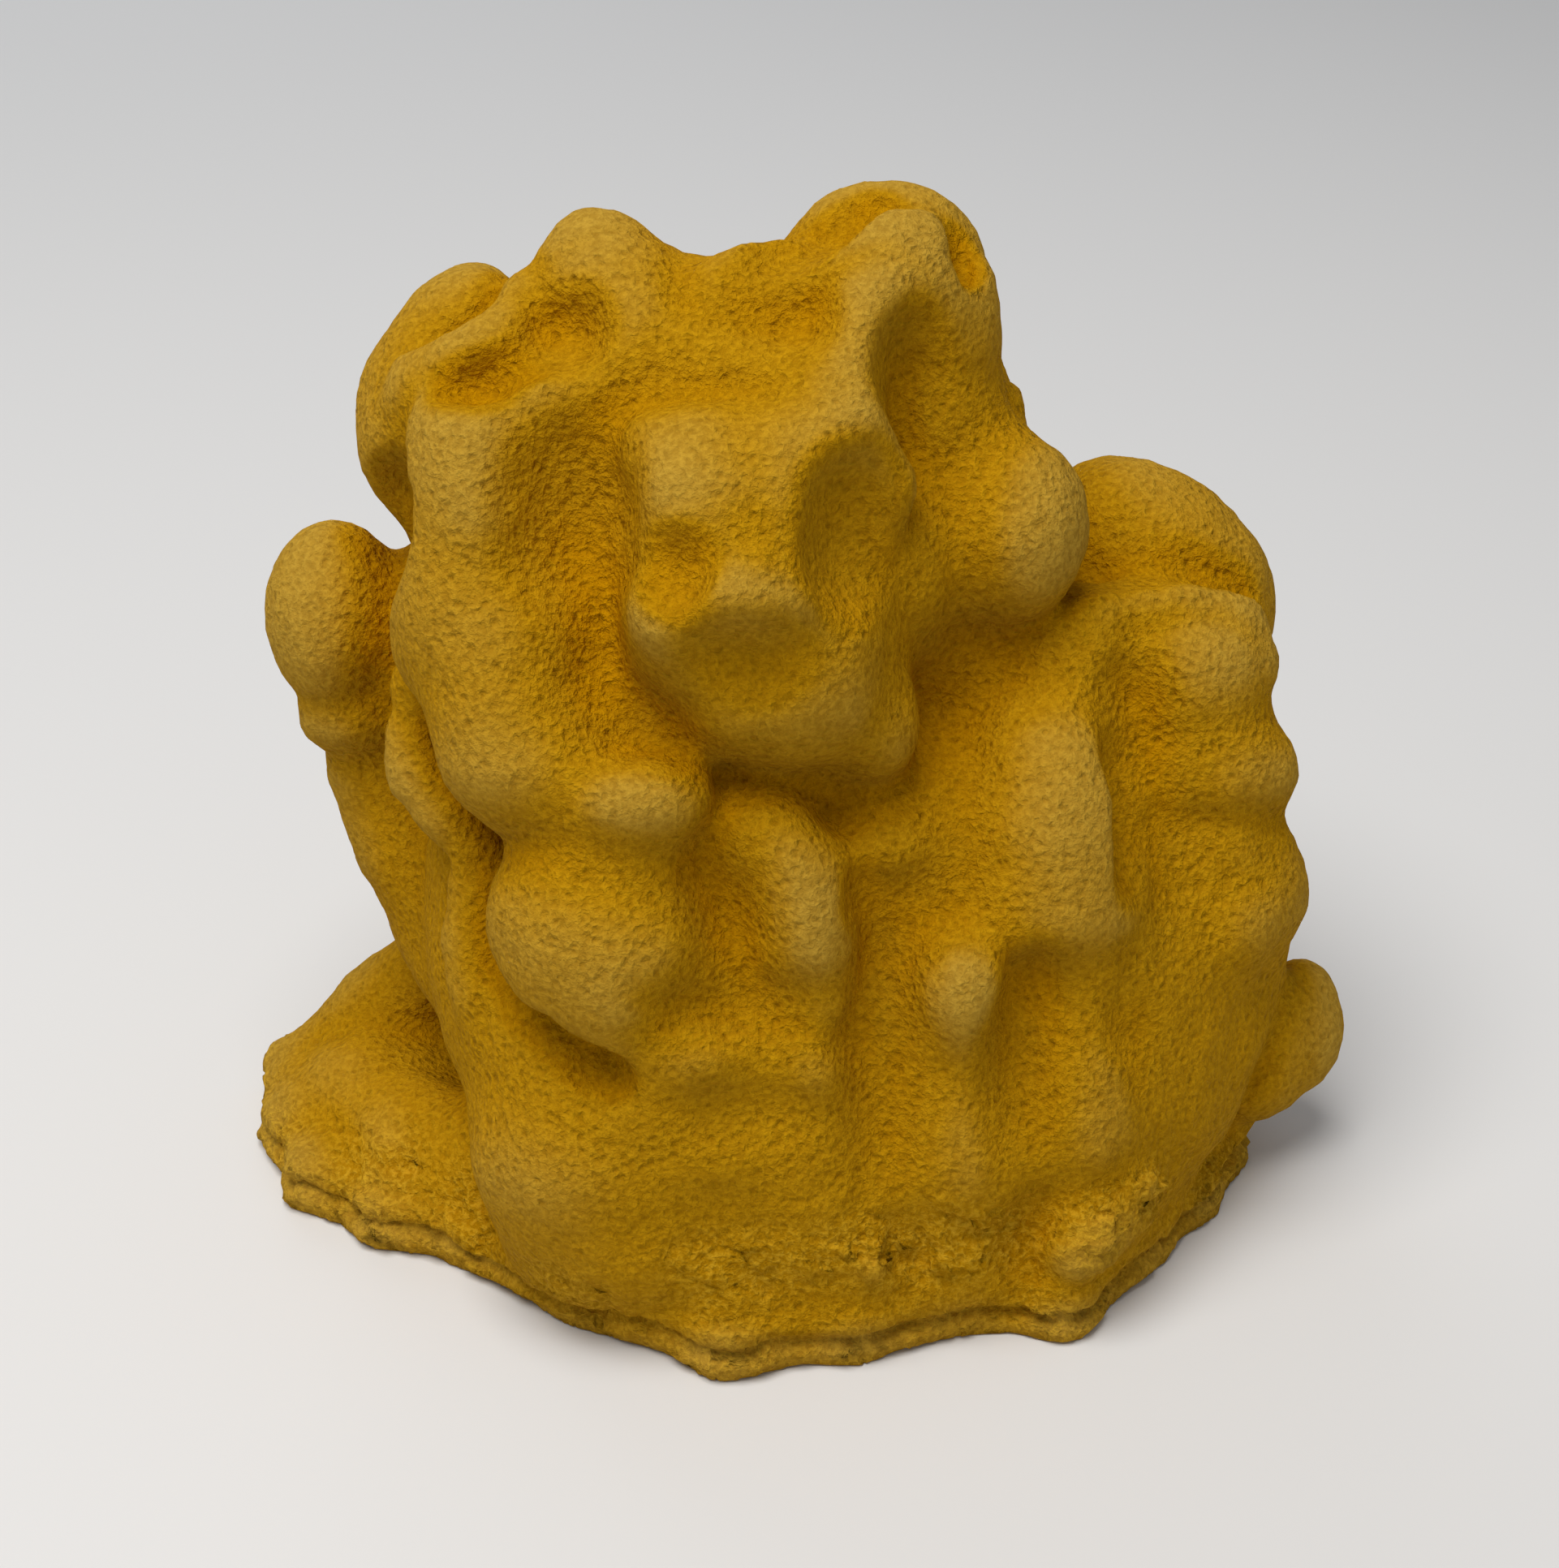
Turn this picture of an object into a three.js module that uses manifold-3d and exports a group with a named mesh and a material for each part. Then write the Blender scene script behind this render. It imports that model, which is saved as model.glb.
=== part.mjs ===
// A lobe coral: one massive skeleton of knobs, ridges and hollows on a broken, crusted foot.
// Millimetres, +Z up, the face with the big knob looks towards -Y. The foot is cut flat at z = 0.
import * as THREE from "three";
import Module from "manifold-3d";

// Driving dimensions
const WIDTH = 156.8;
const DRAWN_WIDTH = 156.8;
const CELL = 4.15;
const SCALE = WIDTH / DRAWN_WIDTH;

// The places below are read off from the front and 30 degrees above, at 340 mm:
// across, up, and near (towards the eye), each measured from a point 65 mm above the floor.
const EYE_DISTANCE = 340;
const EYE_TILT = Math.PI / 6;
const AIM_HEIGHT = 65;
// Where the middle of the footprint lies in the frame of those places
const MIDDLE = [1.4, 6.28];

const SIN = Math.sin(EYE_TILT);
const COS = Math.cos(EYE_TILT);
const growth = [];

// A point of the standing coral in the tilted frame: across, up, near.
function tilted([x, y, z]) {
  return [x, y * SIN + (z - AIM_HEIGHT) * COS, (z - AIM_HEIGHT) * SIN - y * COS];
}

// A place read off in perspective, as a point of the tilted frame.
function seen([across, up, near]) {
  const shrink = (EYE_DISTANCE - near) / EYE_DISTANCE;
  return [across * shrink, up * shrink, near];
}

function ellipsoidDistance(p, centre, size) {
  let inner = 0;
  let slope = 0;
  for (let i = 0; i < 3; i += 1) {
    const share = (p[i] - centre[i]) / size[i];
    inner += share * share;
    slope += (share / size[i]) ** 2;
  }
  inner = Math.sqrt(inner);
  return (inner * (inner - 1)) / Math.max(Math.sqrt(slope), 1e-6);
}

function tubeDistance(p, from, to) {
  const run = [to[0] - from[0], to[1] - from[1], to[2] - from[2]];
  const gap = [p[0] - from[0], p[1] - from[1], p[2] - from[2]];
  const length2 = run[0] ** 2 + run[1] ** 2 + run[2] ** 2;
  const along = (gap[0] * run[0] + gap[1] * run[1] + gap[2] * run[2]) / length2;
  const t = Math.min(1, Math.max(0, along));
  const off = Math.hypot(gap[0] - t * run[0], gap[1] - t * run[1], gap[2] - t * run[2]);
  return off - (from[3] + (to[3] - from[3]) * t);
}

function grow(name, sign, blend, distance) {
  growth.push({ name, sign, blend, distance });
}

// A rounded swelling and the hollow it would leave, in the tilted frame
function swell(name, place, size, blend) {
  const centre = seen(place);
  grow(name, 1, blend, (world, tilt) => ellipsoidDistance(tilt, centre, size));
}

function hollow(name, place, size, blend) {
  const centre = seen(place);
  grow(name, -1, blend, (world, tilt) => ellipsoidDistance(tilt, centre, size));
}

// Rounded ridges and grooves along a run of places, each with its own radius
function run(name, sign, places, blend) {
  const points = places.map((place) => [...seen(place), place[3]]);
  for (let i = 1; i < points.length; i += 1) {
    grow(name, sign, blend, (world, tilt) => tubeDistance(tilt, points[i - 1], points[i]));
  }
}

function ridge(name, places, blend) {
  run(name, 1, places, blend);
}

function groove(name, places, blend) {
  run(name, -1, places, blend);
}

// The same two in the standing frame: x, y, height
function mound(name, place, size, blend) {
  grow(name, 1, blend, (world) => ellipsoidDistance(world, place, size));
}

function apron(name, places, blend) {
  for (let i = 1; i < places.length; i += 1) {
    grow(name, 1, blend, (world) => tubeDistance(world, places[i - 1], places[i]));
  }
}

// core
mound("lower middle", [2, 20, 42], [48, 22, 40], 8);
mound("upper middle", [-3, 18, 88], [33, 17, 34], 8);
swell("front mass", [-12, -29, -14], [32, 32, 34], 10);
swell("right mass", [34.5, -20.5, -26], [30, 33, 33], 10);
swell("upper left mass", [-25.5, 26, -6], [22, 34, 30], 10);
swell("neck of the knob", [-2, 26, 3], [20, 25, 31], 10);
swell("upper right mass", [15, 38, -6], [17, 30, 22], 10);
swell("back right mass", [44, 12, -22], [18, 28, 20], 10);
swell("left bridge", [-48, 17, -14], [10, 13, 11], 8);
swell("left flank", [-36.5, -14, -14], [9.5, 20, 15], 8);
swell("top", [-8, 55, 11], [20, 12, 14], 8);

// crown, left
swell("back left knob", [-40, 57.8, 4], [8.6, 9.6, 10], 7);
swell("knob to shoulder", [-45, 51, 3], [8.5, 8, 10], 7);
swell("top left knob", [-22.5, 62, 14], [10.5, 10.2, 11], 6);
swell("left shoulder", [-45, 44.5, 8], [9.5, 11, 12], 6);
ridge("left crown ridge", [
  [-24, 69, 18, 5],
  [-20.5, 64, 20.5, 4.5],
  [-19.5, 58, 24, 4.5],
  [-23.5, 54.5, 25.5, 4],
  [-29, 52.3, 26, 4],
  [-34, 50.2, 25.5, 4.2],
  [-39, 47, 24.5, 5.5],
], 5);
ridge("shoulder edge", [
  [-39.5, 47, 24, 6],
  [-39.5, 41, 25, 6],
  [-37.5, 35, 25, 6],
  [-40, 27.5, 21, 6.5],
  [-43.5, 18, 15, 6],
], 7);
swell("cheek", [-36, 20, 19], [10.5, 8, 12], 7);
hollow("side recess", [-50.5, 34, 17], [4.6, 8, 9], 4);
swell("crown middle", [0, 55, 19], [12, 11, 11], 8);
swell("pale saddle", [-13, 56, 20], [7, 8, 7.5], 7);
ridge("strip between the pockets", [
  [-33.4, 62.5, 19, 3.2],
  [-35.5, 57.5, 21.5, 3.4],
  [-40, 55, 22, 3.4],
  [-46.5, 51.5, 18.5, 4.4],
], 3.5);
hollow("upper left pocket", [-28.3, 59.5, 29.6], [5.2, 5.6, 6.8], 4);
hollow("shoulder pocket", [-40, 52, 29.6], [5, 2.6, 4.8], 4);
groove("trough between the pockets", [
  [-28.5, 58, 27.5, 2.8],
  [-33, 55.1, 28.6, 2.2],
  [-37.5, 52.9, 27.5, 2.0],
], 3);
hollow("saddle pocket", [-10.3, 67, 29], [2.6, 5, 5], 4);

// crown, right
swell("crest", [13.5, 68.3, 12], [12.2, 9.8, 10], 6);
swell("crest side", [19.5, 58.5, 13], [7.6, 11, 10], 5);
swell("crest foot", [19.5, 48.5, 12], [8, 9, 10], 5);
ridge("crest ridge", [
  [-9.5, 61, 23, 3.6],
  [-6, 63.4, 23.5, 3.8],
  [-1, 65.7, 24, 4],
  [5, 67.8, 24, 4.2],
  [12, 69, 24, 4.4],
  [17.5, 68.5, 22.5, 4.4],
], 4);
ridge("ridge to the knob", [
  [16, 67, 25, 4.5],
  [12, 60.5, 28.5, 4.5],
  [8.5, 54, 30, 4.8],
  [8, 48, 31.5, 5],
  [9.5, 43.5, 32, 5],
  [12.5, 39.8, 30, 4.2],
], 5);
swell("face of the crest", [17.5, 61, 17], [8, 8, 10], 6);
hollow("crest face", [18.6, 51.5, 32], [5.2, 9.5, 7], 5);
groove("crest trough", [
  [-5, 67.3, 29.5, 2.4],
  [0.5, 71.3, 28, 3.2],
  [7, 74.2, 24.5, 3.4],
  [12, 75.6, 20.5, 2.8],
], 4);
ridge("right edge of the crest", [
  [17, 69, 23.5, 3.8],
  [22, 65.3, 19, 3.8],
  [22.5, 59, 15.5, 4.2],
  [22.5, 50, 13.5, 4.6],
], 4);
hollow("crown hollow", [-1.5, 60.5, 34.8], [7, 5, 7.5], 4.5);
swell("crown floor", [-4, 49.5, 23.5], [14.5, 7, 9.5], 6);
hollow("crown trough", [-12, 51.5, 38.5], [9, 4, 6], 6);
hollow("crest back hollow", [24, 70, 22.5], [2.2, 5, 4.5], 3);
swell("small bump", [29, 49, 6], [3, 3, 3], 2);

// knob at the centre
swell("knob, upper left", [-10, 36, 31.5], [11, 9.8, 12], 8);
swell("knob, upper right", [4.5, 35.5, 31], [9.5, 10, 11], 8);
swell("knob, middle", [-7, 22, 35], [11.5, 8, 11.5], 7);
swell("knob, lower", [-0.5, 12.5, 24.5], [11, 9, 11], 8);
swell("knob, lower left", [-9, 17.5, 25], [8, 8.5, 10], 7);
swell("knob, lower right", [7, 17, 23.5], [5.5, 9, 9], 8);
ridge("knob rim", [
  [-17, 41, 32.5, 4.2],
  [-9.5, 41.8, 34, 4.2],
  [0, 42, 34, 4.2],
  [6, 44, 33, 4.2],
], 5);
swell("chin bump", [12.8, 7.5, 18], [5, 6.5, 6.5], 6);
swell("channel", [-26, 43, 16], [9, 10, 11], 8);
hollow("big hollow", [-27.5, 35.5, 36.5], [7.5, 9.5, 9], 6);
hollow("dimple", [-14.2, 27.6, 43.3], [3.9, 4, 3.7], 4);
hollow("knob hollow", [-4.6, 15.6, 43.6], [6, 4, 6], 7);
hollow("eye", [13, 36.8, 40.4], [8, 6.6, 7.6], 5);
hollow("eye, lower", [13.4, 30, 38.6], [7.8, 6.6, 9], 5);
swell("low rim of the eye", [16.8, 29, 15.5], [5, 9, 8], 6);

// right
swell("right knob", [30, 33.5, 11], [9.8, 12, 11.5], 6);
swell("back right lobe", [45, 30, -16], [12, 13, 13], 7);
swell("back right edge", [52.5, 23.5, -16], [12, 13.5, 13], 7);
swell("right lobe", [51.5, 15, -2], [12, 10, 11], 7);
swell("floor of the dip", [28, 15, -4], [12, 13, 11], 8);
swell("saddle", [39.5, 15.5, 3], [6, 7, 8], 6);
ridge("rim of the right lobe", [
  [36, 18.5, 6.5, 3.2],
  [40.5, 22.4, 5.5, 3.2],
  [46, 24.2, 3.6, 3.2],
  [52.5, 24.4, 1.2, 3.4],
  [58.5, 21.5, -0.5, 3.4],
  [61, 16, -1, 3.4],
], 3.5);
groove("crease over the right lobe", [
  [38, 27, 8, 2],
  [46, 29.2, 5, 2.6],
  [54, 29.4, 1.5, 2.6],
  [61, 26, -3, 2],
], 4);
hollow("hollow of the right lobe", [46.8, 11.2, 13.5], [4.6, 5.6, 6.5], 5);
hollow("deep dip", [26, 14, 32], [9, 7.5, 9], 7);
ridge("right column", [
  [35, 2.5, 7.8, 9.4],
  [34.6, -6, 7.6, 10.2],
  [34.4, -16, 5.5, 9.8],
  [36, -28, -2, 10],
  [37.5, -38, -7, 10.5],
], 7);
swell("column flank", [27, -17, 4], [8, 8, 9], 8);
hollow("under the right column", [36, -29, 16.5], [8, 3.6, 5.5], 8);
groove("side valley", [
  [45, 9, 13, 2],
  [45.6, 2, 11.5, 2.6],
  [46, -6, 11, 2.8],
  [46.4, -12, 12, 2],
], 5);
groove("low side valley", [[47.2, -24, 11, 1.8], [46.8, -33, 8, 2.4], [46.5, -43, 3.5, 2.2]], 5);
swell("upper side lobe", [55, 1.6, -6], [12.5, 8, 11], 8);
swell("lower side lobe", [56, -14, -13], [13.3, 10, 12], 8);
ridge("side band", [[49, -8, -1.5, 3.5], [57, -8.5, -4, 3.8], [62, -9.5, -8.5, 3.8]], 4);
swell("side nub", [59, -17.5, -5.5], [4.2, 4, 4.5], 5);
swell("bulb", [67.3, -31, -31], [6.4, 9.2, 8.5], 4);
swell("bulb, inner", [64, -31.5, -25.5], [5.2, 8, 6], 3);
swell("bulb, lower", [60.5, -39, -30], [6.5, 5.5, 8], 5);
ridge("side ridge", [
  [59, -23, -20, 6],
  [55, -31, -18, 6.5],
  [50.5, -40, -19, 7],
  [45, -48, -22, 7.5],
], 6);
swell("right low fill", [44, -38, -14], [12, 16, 12], 9);
swell("side foot", [55, -50.5, -38], [5.4, 5.5, 6], 4);

// front, middle
swell("ledge bump", [-18.5, -2, 24.5], [9, 6.2, 9], 5);
swell("between knob and ledge", [-18, 8.5, 16], [8, 6, 9], 5);
hollow("crevice by the knob", [-18.5, 8, 34], [6, 3.5, 7], 5);
swell("belly", [-23, -17, 15], [14.5, 13, 13], 8);
swell("belly, lower", [-20, -24, 14], [9.5, 9.5, 12], 7);
swell("behind the middle column", [-1.5, 0.6, 8.4], [13, 8.4, 10.4], 6);
ridge("middle column", [
  [-2, -8.5, 21, 6.4],
  [1.5, -13, 19.5, 6.2],
  [4, -19, 17.5, 6.5],
  [4.5, -26, 14.5, 6.5],
], 5);
hollow("valley", [-6, -18, 30], [3.6, 9.5, 8], 6);
swell("pale bump", [14, -10, 12], [5.5, 6, 7], 7);
swell("behind the pale bump", [17, -6, 4], [10, 12, 9], 8);
swell("bright bump", [22.8, -25.8, 12], [7.8, 7, 8.5], 5);
ridge("front column", [[23.5, -33, 5, 9], [23, -44, 0, 10.5], [21, -56.5, -7, 12]], 7);
swell("outer column", [39, -41, -2], [7, 11.5, 10], 7);
swell("outer foot", [38, -54, -12], [10, 9, 12], 8);
ridge("broken lump", [[45.5, -52.5, -3, 4.5], [40, -57.5, -1, 5], [37.8, -61, 0, 4]], 3);
swell("nub", [12, -61.5, 4.5], [2.6, 3, 3.2], 2);
swell("under the round bump", [-9, -43, 4], [12, 8, 10], 6);
hollow("above the bumps", [-5, -30.2, 25.5], [9.5, 3, 7], 6);
swell("round bump", [-10.8, -36, 14.6], [6, 5.2, 6.5], 4);
ridge("floor of the crevice", [[14, -13, 7, 6], [14, -30, 5.5, 6], [14, -48, 2, 6]], 6);
swell("under the belly", [-2, -40, 3], [16, 9, 12], 8);
swell("little bump", [3.4, -37.4, 13], [5, 4.4, 5.5], 4);
swell("low belly", [-25.5, -48.5, 1], [14, 11.5, 14], 7);
swell("foot of the belly", [-15, -58, -5], [20, 11, 14], 9);
swell("front foot", [4, -51, -1], [10, 14, 11.5], 8);
hollow("shade under the bumps", [-3, -44.8, 21.2], [10, 4, 5.5], 7);
hollow("front crevice", [14, -31, 21.5], [3.6, 14, 7], 6);
hollow("front crevice, lower", [13.5, -47, 15.5], [2, 10, 4.5], 6);
hollow("outer crevice", [31.4, -38, 13.2], [3, 13, 5.2], 6);
hollow("nose hollow", [18, -14.5, 21.5], [7, 2.8, 5], 5);
groove("belly crease", [
  [-37.2, -16.5, 9, 1.6],
  [-37, -23, 10.5, 2.4],
  [-35.5, -28.5, 13, 2.8],
  [-30, -32.5, 16.2, 3.2],
  [-25, -36.2, 17.2, 3.2],
  [-22, -38.7, 18, 2.5],
], 3);

// left
swell("far left knob", [-58, 22.3, -5], [8.9, 12.4, 10], 4);
swell("bump under it", [-56, 9, -9], [6.5, 5, 6], 3);
ridge("left stem", [
  [-52, 3, -18, 7.5],
  [-47.5, -7, -22, 7.5],
  [-42, -15, -24, 8],
  [-40, -23, -24, 8],
], 5);
swell("jowl", [-35, 11, 19.5], [9, 10, 11], 7);
swell("lower jowl", [-32.5, 3, 20], [10, 8.5, 11], 6);
ridge("edge bumps", [
  [-47.6, 6, 5, 3.8],
  [-46.8, 1.5, 5, 3.8],
  [-43, -3, 5.5, 3.6],
  [-40, -7.5, 5, 3.2],
], 3);
swell("edge roll", [-46.8, 13, 5], [3.8, 4.6, 5], 3);
ridge("edge fold", [
  [-37.5, -8.5, 4, 2.4],
  [-39.4, -13.5, 4, 3],
  [-40.2, -20, 3.5, 3.2],
  [-38.8, -26, 3, 3.2],
  [-35.5, -32, 2, 3.4],
], 3);

// back
mound("back, low left", [-34, 32, 24], [16, 14, 20], 7);
mound("back, low middle", [-6, 41, 22], [17, 13, 19], 7);
mound("back, low right", [27, 38, 26], [16, 14, 21], 7);
mound("back, left", [-38, 27, 60], [13, 13, 16], 7);
mound("back, middle", [-15, 37, 62], [14, 11, 18], 6);
mound("back, middle right", [12, 40, 60], [13, 11, 17], 6);
mound("back, right", [43, 36, 58], [16, 13, 19], 7);
mound("back, high left", [-30, 23, 97], [12, 11, 14], 6);
mound("back, high middle", [-8, 29, 102], [13, 10, 15], 6);
mound("back, high right", [17, 26, 98], [12, 12, 17], 6);
mound("back bump, left", [-24, 45, 42], [7, 6, 8], 5);
mound("back bump, right", [20, 49, 36], [8, 6, 7], 5);
mound("back bump, high", [3, 38, 84], [7, 6, 9], 5);
mound("side lobe, left", [-47, 20, 36], [8, 10, 12], 6);

// foot
mound("shelf", [-52, 16, 4], [23, 15, 9], 6);
apron("shelf ridge", [[-71, 22, 3, 4], [-58, 26, 12, 6], [-46, 26, 22, 8]], 6);
mound("pad", [0, 0, 4], [54, 35, 9], 6);
apron("skirt", [
  [-60, 10, 6, 8],
  [-50, -2, 6, 8],
  [-38, -7, 7, 9],
  [-22, -17, 8, 10],
  [-6, -26, 9, 10],
  [9, -24, 9, 10],
  [26, -18, 8, 9],
  [36, -18, 7, 9],
  [45, -8, 7, 8],
  [53, 3, 6, 8],
  [54, 18, 6, 8],
], 6);
apron("edge of the skirt", [
  [-72, 21, 3, 4],
  [-70, 8, 3, 4],
  [-65, -3, 3, 4.5],
  [-54, -11, 3, 4],
  [-40, -15, 3, 4],
  [-25, -26, 3, 4],
  [-7, -37, 3, 4],
  [9, -34, 3, 4],
  [28, -27, 3, 4],
  [37, -30, 3, 4],
  [47, -17, 3, 4],
  [57, -6, 3, 4],
  [61, 6, 3, 5],
  [60, 20, 3, 5],
], 5);

// Distance to the skin of the whole colony: each growth melts into those before it.
const FAR = 60;

function skin(point) {
  const tilt = tilted(point);
  let total = FAR;
  for (const { sign, blend, distance } of growth) {
    const own = distance(point, tilt);
    const near = sign * total;
    const soft = Math.max(blend - Math.abs(near - own), 0) / blend;
    total = sign * (Math.min(near, own) - soft * soft * blend * 0.25);
  }
  return total;
}

function slopeAt([x, y, z], step = 0.05) {
  return [
    (skin([x + step, y, z]) - skin([x - step, y, z])) / (2 * step),
    (skin([x, y + step, z]) - skin([x, y - step, z])) / (2 * step),
    (skin([x, y, z + step]) - skin([x, y, z - step])) / (2 * step),
  ];
}

// Box of cells round the colony; it reaches under the floor, where the foot is cut off.
const LOW = [-84, -50, -12];
const BOX = [168, 112, 160];
const COUNTS = BOX.map((length) => Math.ceil(length / CELL));
const STRIDE = [1, COUNTS[0] + 1, (COUNTS[0] + 1) * (COUNTS[1] + 1)];
const AXES = [0, 1, 2];

const corner = (i, j, k) => i * STRIDE[0] + j * STRIDE[1] + k * STRIDE[2];
const placeOf = (i, j, k) => [LOW[0] + i * CELL, LOW[1] + j * CELL, LOW[2] + k * CELL];

const samples = new Float64Array(STRIDE[2] * (COUNTS[2] + 1));
for (let k = 0; k <= COUNTS[2]; k += 1) {
  for (let j = 0; j <= COUNTS[1]; j += 1) {
    for (let i = 0; i <= COUNTS[0]; i += 1) {
      // The lowest layer counts as outside, so that the skin closes under the foot.
      samples[corner(i, j, k)] = k === 0 ? CELL : skin(placeOf(i, j, k));
    }
  }
}

// The corners of a cell as bits: 1 is across, 2 is back, 4 is up. An edge is [corner, axis].
const CELL_EDGES = [];
for (const axis of AXES) {
  for (let c = 0; c < 8; c += 1) {
    if (!(c & (1 << axis))) CELL_EDGES.push([c, axis]);
  }
}
const edgeNumber = (c, axis) => CELL_EDGES.findIndex((e) => e[0] === c && e[1] === axis);

// The four edges of each side of a cell, in order round it.
const CELL_SIDES = [];
for (const axis of AXES) {
  const [p, q] = AXES.filter((other) => other !== axis);
  for (const base of [0, 1 << axis]) {
    CELL_SIDES.push({
      corners: [base, base | (1 << p), base | (1 << p) | (1 << q), base | (1 << q)],
      edges: [
        edgeNumber(base, p),
        edgeNumber(base | (1 << p), q),
        edgeNumber(base | (1 << q), p),
        edgeNumber(base, q),
      ],
    });
  }
}

// One vertex for each sheet of skin that passes through a cell, drawn onto the skin.
const SETTLE_TURNS = 6;
const LONGEST_STEP = CELL / 4;
const GENTLEST_SLOPE = 0.2;
const LONGEST_WAY = CELL * 0.7;
const EDGES_PER_CELL = CELL_EDGES.length;
const vertices = [];
const vertexOfEdge = new Map();

function settle(start) {
  let point = start;
  for (let turn = 0; turn < SETTLE_TURNS; turn += 1) {
    const value = Math.max(-LONGEST_STEP, Math.min(LONGEST_STEP, skin(point)));
    const slope = slopeAt(point);
    const steep = slope[0] ** 2 + slope[1] ** 2 + slope[2] ** 2;
    const step = value / Math.max(steep, GENTLEST_SLOPE);
    point = point.map((place, axis) => place - slope[axis] * step);
  }
  return point.map((place, axis) => {
    const [least, most] = [start[axis] - LONGEST_WAY, start[axis] + LONGEST_WAY];
    return Math.max(least, Math.min(most, place));
  });
}

function addCell(i, j, k) {
  const values = [];
  for (let c = 0; c < 8; c += 1) {
    values.push(samples[corner(i + (c & 1), j + ((c >> 1) & 1), k + ((c >> 2) & 1))]);
  }
  const inside = values.map((value) => value < 0);
  const crossed = CELL_EDGES.map(([c, axis]) => inside[c] !== inside[c | (1 << axis)]);
  if (!crossed.includes(true)) return;
  const group = [...CELL_EDGES.keys()];
  const rootOf = (n) => (group[n] === n ? n : rootOf(group[n]));
  const join = (a, b) => {
    group[rootOf(a)] = rootOf(b);
  };
  for (const side of CELL_SIDES) {
    const hits = side.edges.filter((n) => crossed[n]);
    if (hits.length === 2) join(hits[0], hits[1]);
    if (hits.length < 4) continue;
    // Two sheets meet this side: each goes round one corner that is inside.
    side.corners.forEach((c, turn) => {
      if (inside[c]) join(side.edges[turn], side.edges[(turn + 3) % 4]);
    });
  }
  const sheets = new Map();
  CELL_EDGES.forEach(([c, axis], n) => {
    if (!crossed[n]) return;
    const t = values[c] / (values[c] - values[c | (1 << axis)]);
    const hit = placeOf(i + (c & 1), j + ((c >> 1) & 1), k + ((c >> 2) & 1));
    hit[axis] += t * CELL;
    const sheet = rootOf(n);
    if (!sheets.has(sheet)) sheets.set(sheet, []);
    sheets.get(sheet).push({ n, hit });
  });
  for (const hits of sheets.values()) {
    const mean = AXES.map((axis) => hits.reduce((sum, { hit }) => sum + hit[axis], 0) / hits.length);
    vertices.push(settle(mean));
    for (const { n } of hits) {
      vertexOfEdge.set(corner(i, j, k) * EDGES_PER_CELL + n, vertices.length - 1);
    }
  }
}

for (let k = 0; k < COUNTS[2]; k += 1) {
  for (let j = 0; j < COUNTS[1]; j += 1) {
    for (let i = 0; i < COUNTS[0]; i += 1) {
      addCell(i, j, k);
    }
  }
}

// Two triangles round each crossed edge of the grid, split along the shorter diagonal.
const triangles = [];

function addQuad(quad, flip) {
  const [a, b, c, d] = flip ? [...quad].reverse() : quad;
  const length = (p, q) => Math.hypot(...AXES.map((axis) => vertices[p][axis] - vertices[q][axis]));
  const halves = length(a, c) <= length(b, d) ? [[a, b, c], [a, c, d]] : [[b, c, d], [b, d, a]];
  triangles.push(...halves);
}

for (let k = 0; k < COUNTS[2]; k += 1) {
  for (let j = 0; j < COUNTS[1]; j += 1) {
    for (let i = 0; i < COUNTS[0]; i += 1) {
      for (const axis of AXES) {
        const here = samples[corner(i, j, k)];
        const next = samples[corner(i, j, k) + STRIDE[axis]];
        if (here < 0 === next < 0) continue;
        const [p, q] = [(axis + 1) % 3, (axis + 2) % 3];
        const quad = [0, 1, 2, 3].map((turn) => {
          const backP = turn === 1 || turn === 2 ? 0 : 1;
          const backQ = turn > 1 ? 0 : 1;
          const cell = corner(i, j, k) - backP * STRIDE[p] - backQ * STRIDE[q];
          const bits = backP * (1 << p) + backQ * (1 << q);
          return vertexOfEdge.get(cell * EDGES_PER_CELL + edgeNumber(bits, axis));
        });
        addQuad(quad, here >= 0);
      }
    }
  }
}

const wasm = await Module();
wasm.setup();

function solidFrom(points, corners) {
  return new wasm.Manifold(
    new wasm.Mesh({
      numProp: 3,
      vertProperties: new Float32Array(points.flat()),
      triVerts: new Uint32Array(corners),
    }),
  );
}

function solidFromGeometry(geometry) {
  const place = geometry.getAttribute("position");
  const points = [];
  const seenPoints = new Map();
  const order = [];
  for (let i = 0; i < place.count; i += 1) {
    const point = [place.getX(i), place.getY(i), place.getZ(i)];
    const key = point.join();
    if (!seenPoints.has(key)) {
      seenPoints.set(key, points.length);
      points.push(point);
    }
    order.push(seenPoints.get(key));
  }
  const index = Array.from(geometry.getIndex().array, (n) => order[n]);
  return solidFrom(points, index);
}

// The foot is sawn off flat at the floor.
const centred = vertices.map(([x, y, z]) => [
  (x - MIDDLE[0]) * SCALE,
  (y - MIDDLE[1]) * SCALE,
  z * SCALE,
]);
const sawSize = 4 * WIDTH;
const underFloor = new THREE.BoxGeometry(sawSize, sawSize, WIDTH);
underFloor.translate(0, 0, -WIDTH / 2);
const whole = solidFrom(centred, triangles.flat()).subtract(solidFromGeometry(underFloor));
const biggest = whole.decompose().reduce((a, b) => (b.volume() > a.volume() ? b : a));
const cut = biggest.getMesh();

const geometry = new THREE.BufferGeometry();
geometry.setAttribute("position", new THREE.BufferAttribute(cut.vertProperties, 3));
geometry.setIndex(new THREE.BufferAttribute(cut.triVerts, 1));
geometry.computeVertexNormals();

const skeleton = new THREE.MeshStandardMaterial({ color: 0xb48a22, roughness: 0.95 });
const coral = new THREE.Mesh(geometry, skeleton);
coral.name = "coral";

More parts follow.
